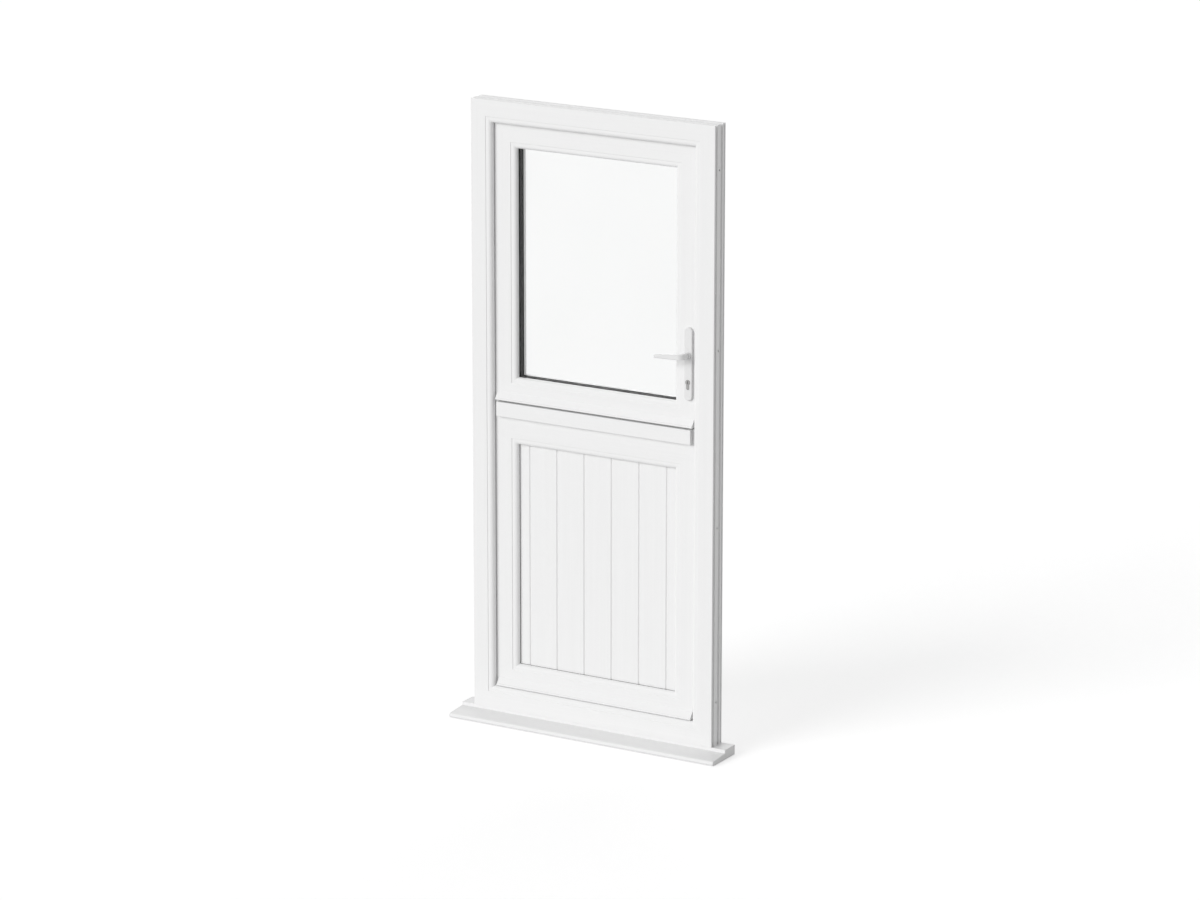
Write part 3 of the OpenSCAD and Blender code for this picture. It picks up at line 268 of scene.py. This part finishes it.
FINISHES = {
    upright_profile: ("frame_hinge_jamb", "frame_lock_jamb", "upper_hinge_stile", "upper_lock_stile",
                      "lower_hinge_stile", "lower_lock_stile"),
    level_profile: ("frame_head", "frame_threshold", "sill", "upper_top_rail", "upper_bottom_rail",
                    "lower_top_rail", "lower_bottom_rail", "meeting_rail", "upper_drip_bar", "lower_drip_bar",
                    "glazing_beads", "panel_beads"),
    plank_panel: ("infill_panel",),
    white_cap: ("sill_end_caps", "upper_drip_caps", "lower_end_caps"),
    packer_plastic: ("glazing_packers", "panel_packers"),
    handle_coat_painted_shade: ("outside_backplate", "inside_backplate", "outside_lever", "inside_lever"),
    hinge_coat: ("hinge_frame_leaves", "upper_hinge_leaves", "lower_hinge_leaves", "lower_keep",
                 "coupling_keeper", "coupling_guide", "lower_bolt_guide"),
    black_rubber: ("glass_gaskets", "panel_gaskets"),
    grey_rubber: ("frame_seal", "upper_leaf_seal", "lower_leaf_seals"),
    spacer_bar: ("pane_spacer",),
    zinc_plate: ("lock_keep", "lock_case", "lock_faceplate", "frame_screws", "upper_screws", "lower_screws",
                 "handle_screws", "latch_bolt", "dead_bolt", "spindle"),
    upright_rod: ("hinge_pins", "coupling_bolt"),
    level_rod: ("lower_bolt",),
    satin_nickel: ("cylinder_body", "outside_key_plug", "inside_key_plug"),
    clear_glass: ("outer_pane", "inner_pane"),
}


def give_finish(piece, material):
    piece.data.materials.clear()
    piece.data.materials.append(material)


for material, names in FINISHES.items():
    for name in names:
        give_finish(nodes[name], material)
for name in FINISHES[clear_glass]:
    nodes[name].visible_shadow = False


# Seals and gaskets: rubber strips with a round working side

GASKET_T, GASKET_W, GASKET_EDGE_R = 0.003, 0.008, 0.0007
SEAL_W, SEAL_JOINT = 0.005, 0.0003
STOP_SEAL_R, MEETING_SEAL_R, FLANGE_SEAL_R = 0.0021, 0.0021, 0.0012
FLANGE_SEAL_X, FLANGE_SEAL_Y = (0.407, 0.412), (0.0703, 0.072)
MEETING_SEAL_X, MEETING_SEAL_Y = 0.393, (0.050, 0.055)
LOWER_TOP = 1.103
BULB_SEGMENTS = 4


def rubber_ring(name, low, high, width, side, bulb):
    """A strip of rubber round an opening in the XZ plane, with round edges on one side along Y."""
    ring = block(name, low, high)
    choose_faces(ring, lambda face: abs(face.normal.y) > FACING)
    bpy.ops.mesh.inset(thickness=width)
    bpy.ops.mesh.bridge_edge_loops()
    leave_edit_mode()
    working = high[1] if side > 0 else low[1]
    choose_edges(ring, lambda a, b: abs(a.y - working) < SAME_PLANE and abs(b.y - working) < SAME_PLANE)
    bpy.ops.mesh.bevel(offset=bulb, segments=BULB_SEGMENTS, affect="EDGES")
    leave_edit_mode()
    smooth(ring, 50)
    return ring


def rubber_strip(name, low, high, axis, side, along, bulb):
    """A straight strip of rubber with round long edges on the side that it closes with."""
    strip = block(name, low, high)
    working = high[axis] if side > 0 else low[axis]
    choose_edges(strip, lambda a, b: abs(a[axis] - working) < SAME_PLANE
                 and abs(b[axis] - working) < SAME_PLANE and abs(a[along] - b[along]) > LONG_EDGE)
    bpy.ops.mesh.bevel(offset=bulb, segments=BULB_SEGMENTS, affect="EDGES")
    leave_edit_mode()
    smooth(strip, 50)
    return strip


def dress(piece, material, body, slot, *replaced):
    """Finish, body and the solids that a new piece stands for."""
    give_finish(piece, material)
    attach(piece, body)
    if replaced:
        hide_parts(*replaced)


def glazing_gaskets(name, node, body):
    """The two gaskets that hold the glass or the panel, one on each side."""
    low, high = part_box(node)
    outer_back = (high[0], low[1] + GASKET_T, high[2])
    inner_front = (low[0], high[1] - GASKET_T, low[2])
    outer = rubber_ring(name + "_outer", low, outer_back, GASKET_W, -1, GASKET_EDGE_R)
    inner = rubber_ring(name + "_inner", inner_front, high, GASKET_W, 1, GASKET_EDGE_R)
    dress(joined(name, [outer, inner]), black_rubber, body, "black_rubber", node)


def flange_seal(name, node, body, closed_end, extra=()):
    """Seal along the sides and the closed end of a leaf's flange."""
    low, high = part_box(node)
    foot, top = (low[2], high[2]) if closed_end > 0 else (low[2], LOWER_TOP)
    x, y = FLANGE_SEAL_X, FLANGE_SEAL_Y
    reach = x[0] - SEAL_JOINT
    end = (top - SEAL_W, top) if closed_end > 0 else (foot, foot + SEAL_W)
    strips = [
        rubber_strip(name, (-x[1], y[0], foot), (-x[0], y[1], top), 1, -1, 2, FLANGE_SEAL_R),
        rubber_strip(name, (x[0], y[0], foot), (x[1], y[1], top), 1, -1, 2, FLANGE_SEAL_R),
        rubber_strip(name, (-reach, y[0], end[0]), (reach, y[1], end[1]), 1, -1, 0, FLANGE_SEAL_R),
    ]
    dress(joined(name, strips + list(extra)), grey_rubber, body, "grey_seal", node)


glazing_gaskets("glass_gasket", "glass_gaskets", "upper_leaf")
glazing_gaskets("panel_gasket", "panel_gaskets", "lower_leaf")
seal_low, seal_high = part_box("frame_seal")
stop_seal = rubber_ring("stop_seal", seal_low, seal_high, SEAL_W, 1, STOP_SEAL_R)
dress(stop_seal, grey_rubber, "frame", "grey_seal", "frame_seal")
flange_seal("upper_flange_seal", "upper_leaf_seal", "upper_leaf", 1)
meeting_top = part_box("lower_leaf_seals")[1][2]
meeting_seal = rubber_strip("meeting_seal", (-MEETING_SEAL_X, MEETING_SEAL_Y[0], LOWER_TOP),
                            (MEETING_SEAL_X, MEETING_SEAL_Y[1], meeting_top), 2, 1, 0, MEETING_SEAL_R)
flange_seal("lower_flange_seal", "lower_leaf_seals", "lower_leaf", -1, [meeting_seal])


# Screws with a cross recess

# Shares of the head's radius
RECESS_ARM, RECESS_SLIT, RECESS_DEPTH = 0.62, 0.11, 0.4
# Share of the shank's width that is left at the tip
TIP_SHARE = 0.15
# Radians between the recesses of one screw and the next
TURN_OF_NEXT = 0.7


def cross_screw(name, head_r, shank_r, length):
    """A countersunk screw along -Z with its head at the origin and a cross recess in it."""
    lay_tools_down()
    head_h = head_r - shank_r
    bpy.ops.mesh.primitive_cylinder_add(vertices=20, radius=head_r, depth=head_h,
                                        location=(0, 0, -head_h / 2))
    body = bpy.context.object
    body.name = name
    settle(body)
    choose_faces(body, lambda face: face.normal.z < -FACING)
    narrowing, tip_l = shank_r / head_r, 2 * shank_r
    bpy.ops.transform.resize(value=(narrowing, narrowing, 1), center_override=(0, 0, -head_h))
    bpy.ops.mesh.extrude_region_move(TRANSFORM_OT_translate={"value": (0, 0, head_h + tip_l - length)})
    bpy.ops.mesh.extrude_region_move(TRANSFORM_OT_translate={"value": (0, 0, -tip_l)})
    bpy.ops.transform.resize(value=(TIP_SHARE, TIP_SHARE, 1), center_override=(0, 0, -length))
    leave_edit_mode()
    arm, slit, depth = RECESS_ARM * head_r, RECESS_SLIT * head_r, RECESS_DEPTH * head_r
    cutter = joined("cross_cutter", [
        block("cross_cutter", (-arm, -slit, -depth), (arm, slit, depth)),
        block("cross_cutter", (-slit, -arm, -depth), (slit, arm, depth)),
    ])
    pick(body)
    cut = body.modifiers.new("cross", "BOOLEAN")
    cut.operation = "DIFFERENCE"
    cut.solver = "EXACT"
    cut.use_self = True
    cut.object = cutter
    bpy.ops.object.modifier_apply(modifier=cut.name)
    pick(cutter)
    bpy.ops.object.delete()
    smooth(body, 30)
    return body


def driven(name, pattern, places):
    """Copies of a screw at places in mm, each with the way that its head faces, made one piece."""
    copies = []
    for turn, (where, facing) in enumerate(places):
        screw = pattern.copy()
        screw.data = pattern.data.copy()
        bpy.context.scene.collection.objects.link(screw)
        spin = Matrix.Rotation(TURN_OF_NEXT * turn, 4, "Z")
        aim = Vector(facing).to_track_quat("Z", "Y").to_matrix().to_4x4()
        screw.matrix_world = Matrix.Translation(Vector(where) / 1000) @ aim @ spin
        copies.append(settle(screw))
    return joined(name, copies)


INWARD, LEFT, RIGHT = (0, 1, 0), (-1, 0, 0), (1, 0, 0)

# Where the heads sit, in mm
HINGE_Z = (250, 901, 1257, 1906)
FRAME_PLATE_Y, LEAF_PLATE_Y, HANDLE_PLATE_Y = 74, 98, 104
HINGE_FRAME_X, HINGE_LEAF_X, HINGE_STEP = -445, (-371, -386), 40.4
LOCK_Y, LOCK_EDGE_X, LOCK_KEEP_X = 50, 393, 402
LOCK_KEEP_Z, FACEPLATE_Z, CYLINDER_Z = (1278.333, 1422.667), (1205.5, 1439), 1241.5
HANDLE_X, HANDLE_Z = 356, (1214, 1430)
COUPLING_X, COUPLING_KEEPER_Z, COUPLING_GUIDE_Z = 220, 1122, (1004, 1076)
LOWER_BOLT_Z, LOWER_KEEP_X, LOWER_BOLT_X = 575, 421.5, (350, 386)
KEEPER_STEP, GUIDE_STEP = 21, 12.5

small_screw = cross_screw("small_screw", 0.004, 0.002, 0.028)
long_screw = cross_screw("long_screw", 0.0045, 0.0025, 0.086)
cylinder_screw = cross_screw("cylinder_screw_pattern", 0.0045, 0.0025, 0.0395)

frame_places = [((HINGE_FRAME_X, FRAME_PLATE_Y, z + step), INWARD)
                for z in HINGE_Z for step in (-HINGE_STEP, 0, HINGE_STEP)]
frame_places += [((LOCK_KEEP_X, LOCK_Y, z), LEFT) for z in LOCK_KEEP_Z]
frame_places += [((LOWER_KEEP_X, FRAME_PLATE_Y, LOWER_BOLT_Z + step), INWARD)
                 for step in (-KEEPER_STEP, KEEPER_STEP)]
frame_cross_screws = driven("frame_cross_screws", small_screw, frame_places)
dress(frame_cross_screws, zinc_plate, "frame", "steel", "frame_screws")

upper_places = [((x, LEAF_PLATE_Y, z), INWARD) for z in HINGE_Z[2:] for x in HINGE_LEAF_X]
upper_places += [((LOCK_EDGE_X, LOCK_Y, z), RIGHT) for z in FACEPLATE_Z]
upper_places += [((COUPLING_X + step, LEAF_PLATE_Y, COUPLING_KEEPER_Z), INWARD)
                 for step in (-KEEPER_STEP, KEEPER_STEP)]
upper_screws = [driven("upper_cross_screws", small_screw, upper_places),
                driven("cylinder_screw", cylinder_screw, [((LOCK_EDGE_X, LOCK_Y, CYLINDER_Z), RIGHT)])]
dress(joined("upper_cross_screws", upper_screws), zinc_plate, "upper_leaf", "steel", "upper_screws")

handle_places = [((HANDLE_X, HANDLE_PLATE_Y, z), INWARD) for z in HANDLE_Z]
handle_cross_screws = driven("handle_cross_screws", long_screw, handle_places)
dress(handle_cross_screws, zinc_plate, "upper_leaf", "steel", "handle_screws")

lower_places = [((x, LEAF_PLATE_Y, z), INWARD) for z in HINGE_Z[:2] for x in HINGE_LEAF_X]
lower_places += [((COUPLING_X + step, LEAF_PLATE_Y, z), INWARD)
                 for step in (-GUIDE_STEP, GUIDE_STEP) for z in COUPLING_GUIDE_Z]
lower_places += [((x, LEAF_PLATE_Y, LOWER_BOLT_Z + step), INWARD)
                 for step in (-GUIDE_STEP, GUIDE_STEP) for x in LOWER_BOLT_X]
lower_cross_screws = driven("lower_cross_screws", small_screw, lower_places)
dress(lower_cross_screws, zinc_plate, "lower_leaf", "steel", "lower_screws")

for pattern in (small_screw, long_screw, cylinder_screw):
    pick(pattern)
    bpy.ops.object.delete()


# Floor, light and camera

SKY_LIGHT = 0.46
FLOOR_SIZE, FLOOR_DROP = 240, 0.0005
FLOOR_PAINT, FLOOR_GLOW = 0.7, 0.48
TARGET, BACK = Vector((0, 0, 1.078)), Vector((0.49078, -0.83291, 0.25578))
CAMERA_DISTANCE = 16.40987


def seen_directly(tree):
    """1 for rays from the camera, from a gloss or through glass."""
    path = tree.nodes.new("ShaderNodeLightPath")
    seen = path.outputs["Is Camera Ray"]
    for other in ("Is Glossy Ray", "Is Transmission Ray"):
        most = tree.nodes.new("ShaderNodeMath")
        most.operation = "MAXIMUM"
        tree.links.new(seen, most.inputs[0])
        tree.links.new(path.outputs[other], most.inputs[1])
        seen = most.outputs[0]
    return seen


def pale_floor():
    """A wide floor that shows as white and keeps the door's shadow."""
    lay_tools_down()
    bpy.ops.mesh.primitive_plane_add(size=FLOOR_SIZE, location=(0, 0, -FLOOR_DROP))
    floor = bpy.context.object
    floor.name = "floor"
    material = bpy.data.materials.new("floor_paint")
    material.use_nodes = True
    tree = material.node_tree
    tree.nodes.clear()
    out = tree.nodes.new("ShaderNodeOutputMaterial")
    paint = tree.nodes.new("ShaderNodeBsdfDiffuse")
    paint.inputs["Color"].default_value = (FLOOR_PAINT, FLOOR_PAINT, FLOOR_PAINT, 1)
    glow = tree.nodes.new("ShaderNodeEmission")
    glow.inputs["Strength"].default_value = FLOOR_GLOW
    lit = tree.nodes.new("ShaderNodeAddShader")
    tree.links.new(paint.outputs[0], lit.inputs[0])
    tree.links.new(glow.outputs[0], lit.inputs[1])
    choice = tree.nodes.new("ShaderNodeMixShader")
    tree.links.new(seen_directly(tree), choice.inputs[0])
    tree.links.new(paint.outputs[0], choice.inputs[1])
    tree.links.new(lit.outputs[0], choice.inputs[2])
    tree.links.new(choice.outputs[0], out.inputs["Surface"])
    floor.data.materials.append(material)


def white_surroundings():
    """Even light from all sides, which looks white behind the door."""
    world = bpy.data.worlds.new("surroundings")
    bpy.context.scene.world = world
    world.use_nodes = True
    tree = world.node_tree
    sky = tree.nodes["Background"]
    strength = tree.nodes.new("ShaderNodeMapRange")
    strength.inputs["To Min"].default_value = SKY_LIGHT
    strength.inputs["To Max"].default_value = 1.0
    tree.links.new(seen_directly(tree), strength.inputs["Value"])
    tree.links.new(strength.outputs["Result"], sky.inputs["Strength"])
    sky.inputs["Color"].default_value = (1, 1, 1, 1)


def soft_lamp(name, toward, strength, softness):
    """A far and wide lamp that shines from a direction and doesn't show in the gloss."""
    lamp = bpy.data.lights.new(name, "SUN")
    lamp.energy = strength
    lamp.angle = math.radians(softness)
    holder = bpy.data.objects.new(name, lamp)
    holder.rotation_euler = Vector(toward).to_track_quat("Z", "Y").to_euler()
    holder.visible_glossy = False
    bpy.context.scene.collection.objects.link(holder)


pale_floor()
white_surroundings()
soft_lamp("key_lamp", toward=(-0.38, -0.855, 0.35), strength=1.9, softness=36)
soft_lamp("back_lamp", toward=(-0.35, 0.92, 0.15), strength=1.4, softness=70)

# A long lens, from the right and a little above
camera = bpy.data.cameras.new("camera")
camera.lens = 149.58
camera.sensor_width = 36
camera.shift_x = 0.00739
camera.shift_y = -0.02186
camera.clip_end = 300
tripod = bpy.data.objects.new("camera", camera)
tripod.location = TARGET + CAMERA_DISTANCE * BACK
tripod.rotation_euler = BACK.to_track_quat("Z", "Y").to_euler()
bpy.context.scene.collection.objects.link(tripod)
bpy.context.scene.camera = tripod
bpy.context.scene.view_settings.view_transform = "Standard"

lay_tools_down()
